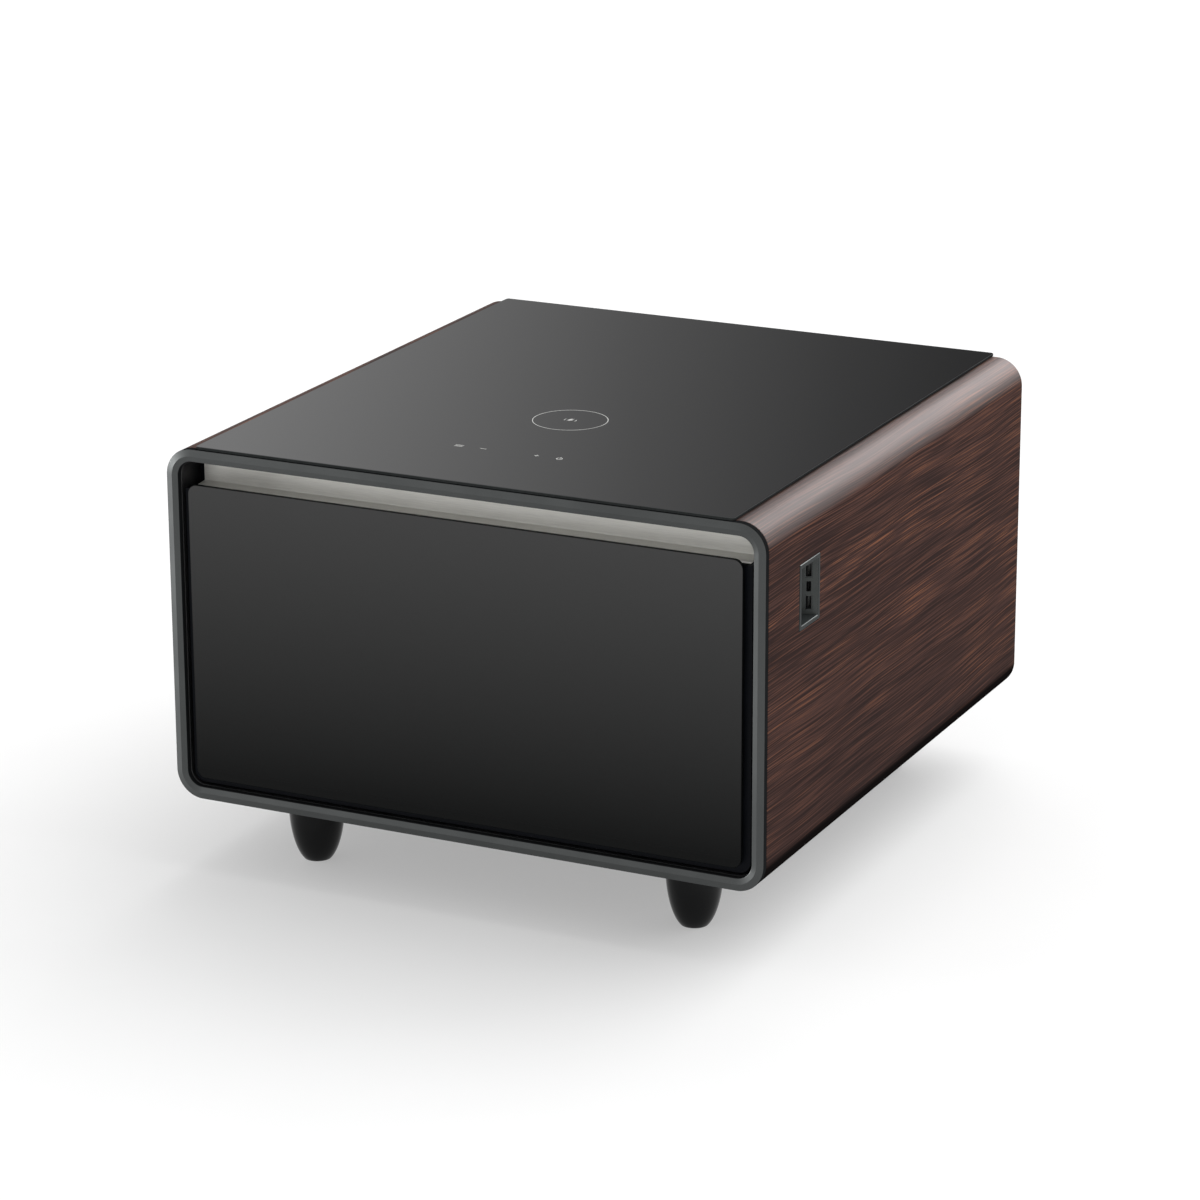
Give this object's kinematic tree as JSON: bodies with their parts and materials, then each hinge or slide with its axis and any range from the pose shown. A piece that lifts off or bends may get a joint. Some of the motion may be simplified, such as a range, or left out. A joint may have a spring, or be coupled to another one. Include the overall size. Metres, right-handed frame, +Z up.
{
  "type": "refrigerator coffee table",
  "caption": "Low coffee table with a pull-out refrigerated drawer, a flat glass top, rounded wood sides, a charging port pocket and short tapered legs.",
  "frame": {"origin": "on the floor under the middle of the table", "axes": "+Z up, -Y towards the drawer front, +X to the right as seen from the front; lengths run along Y"},
  "size_m": [0.6503, 0.683, 0.4514],
  "materials": {
    "wood_panel": "satin dark walnut",
    "deck_board": "plain dark board",
    "bezel_paint": "satin dark grey",
    "black_glass": "polished, backed in black",
    "black_plastic": "matt black",
    "frame_plastic": "matt blue-black",
    "leg_gloss": "gloss black",
    "channel_steel": "brushed",
    "port_metal": "satin dark grey metallic",
    "white_plastic": "smooth white",
    "lamp_plastic": "milky cover",
    "foam": "rigid insulating foam",
    "black_rubber": "matt",
    "grey_rubber": "matt light grey",
    "zinc_steel": "zinc plated",
    "black_steel": "satin black",
    "copper_line": "bright copper",
    "aluminium_plate": "plain",
    "circuit_board": "green circuit board"
  },
  "bodies": {
    "cabinet": {"left_side_panel": "wood_panel", "right_side_panel": "wood_panel", "top_deck": "deck_board", "base_panel": "deck_board", "front_bezel": "bezel_paint", "throat_ring": "black_plastic", "glass_top": "black_glass", "glass_seal": "black_rubber", "charger_coil": "copper_line", "charger_board": "circuit_board", "touch_board": "circuit_board", "inner_liner": "white_plastic", "foam_insulation": "foam", "bulkhead": "zinc_steel", "rear_panel": "black_steel", "rear_screw_lower_left": "zinc_steel", "rear_screw_lower_right": "zinc_steel", "rear_screw_upper_left": "zinc_steel", "rear_screw_upper_right": "zinc_steel", "leg_front_left": "leg_gloss", "leg_front_right": "leg_gloss", "leg_rear_left": "leg_gloss", "leg_rear_right": "leg_gloss", "port_housing": "port_metal", "usb_a_upper": "zinc_steel", "usb_a_lower": "zinc_steel", "usb_c_socket": "zinc_steel", "usb_board": "circuit_board", "evaporator": "aluminium_plate", "liner_lamp": "lamp_plastic", "compressor_mount": "zinc_steel", "compressor_damper": "black_rubber", "compressor": "black_steel", "condenser": "aluminium_plate", "fan_shroud": "black_plastic", "fan_motor": "black_steel", "discharge_line": "copper_line", "liquid_line": "copper_line", "filter_drier": "copper_line", "capillary_tube": "copper_line", "suction_line": "copper_line", "power_inlet": "black_plastic", "inlet_harness": "black_rubber", "control_box": "white_plastic", "outer_runner_left": "zinc_steel", "outer_runner_right": "zinc_steel"},
    "drawer": {"door_glass": "black_glass", "door_frame": "frame_plastic", "grip_backing": "frame_plastic", "door_foam": "foam", "door_inner_panel": "white_plastic", "door_gasket": "grey_rubber", "pull_channel": "channel_steel", "drawer_bin": "white_plastic", "bin_divider": "white_plastic", "inner_runner_left": "zinc_steel", "inner_runner_right": "zinc_steel"},
    "middle_runners": {"middle_runner_left": "zinc_steel", "middle_runner_right": "zinc_steel"},
    "fan_rotor": {"fan_impeller": "black_plastic"}
  },
  "joints": [
    {"name": "drawer_slide", "type": "slide", "parent": "cabinet", "child": "drawer", "axis": [0, -1, 0], "range_m": [0, 0.38]},
    {"name": "middle_runner_slide", "type": "slide", "parent": "cabinet", "child": "middle_runners", "axis": [0, -1, 0], "range_m": [0, 0.19]},
    {"name": "fan_spin", "type": "hinge", "parent": "cabinet", "child": "fan_rotor", "pos_m": [0.1301, 0.2501, 0.173], "axis": [0, 1, 0], "continuous": true}
  ],
  "couplings": [
    {"joint": "middle_runner_slide", "follows": "drawer_slide", "ratio": 0.5}
  ]
}
